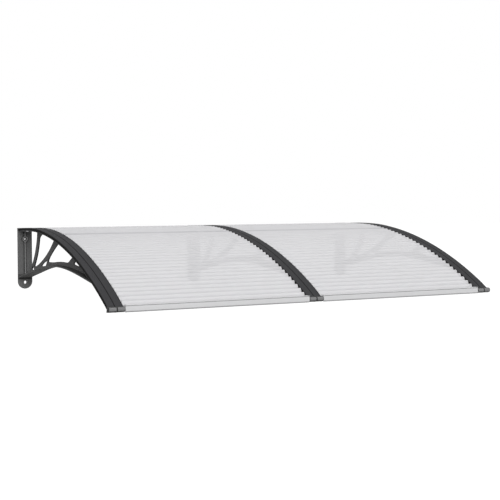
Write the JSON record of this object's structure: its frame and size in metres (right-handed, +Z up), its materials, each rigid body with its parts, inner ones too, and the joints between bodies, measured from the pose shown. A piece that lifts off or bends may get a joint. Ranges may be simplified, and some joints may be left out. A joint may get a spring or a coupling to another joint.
{
  "type": "polycarbonate door canopy",
  "caption": "Arched wall-mounted door canopy: corrugated translucent panels on dark moulded brackets with curved spokes, cover strips, rounded front caps and pale front bars.",
  "frame": {"origin": "on the back face of the middle wall plate, halfway between its two fixing holes", "axes": "+X along the wall to the right as seen from in front, +Y into the wall, +Z up"},
  "size_m": [1.5, 0.997, 0.2401],
  "materials": {
    "bracket": "fine moulded grain",
    "strip": "satin",
    "cap": "satin moulded",
    "panel": "translucent, corrugated",
    "bar": "pale satin",
    "screw": "zinc plated"
  },
  "bodies": {
    "root": {"bracket_left": "bracket", "cover_strip_left": "strip", "front_cap_left": "cap", "bracket_middle": "bracket", "cover_strip_middle": "strip", "front_cap_middle": "cap", "bracket_right": "bracket", "cover_strip_right": "strip", "front_cap_right": "cap", "panel_left": "panel", "front_bar_left": "bar", "panel_right": "panel", "front_bar_right": "bar", "strip_screw_left_1": "screw", "strip_screw_left_2": "screw", "strip_screw_left_3": "screw", "strip_screw_left_4": "screw", "strip_screw_middle_1": "screw", "strip_screw_middle_2": "screw", "strip_screw_middle_3": "screw", "strip_screw_middle_4": "screw", "strip_screw_right_1": "screw", "strip_screw_right_2": "screw", "strip_screw_right_3": "screw", "strip_screw_right_4": "screw", "cap_screw_left": "screw", "cap_screw_middle": "screw", "cap_screw_right": "screw"}
  },
  "joints": []
}
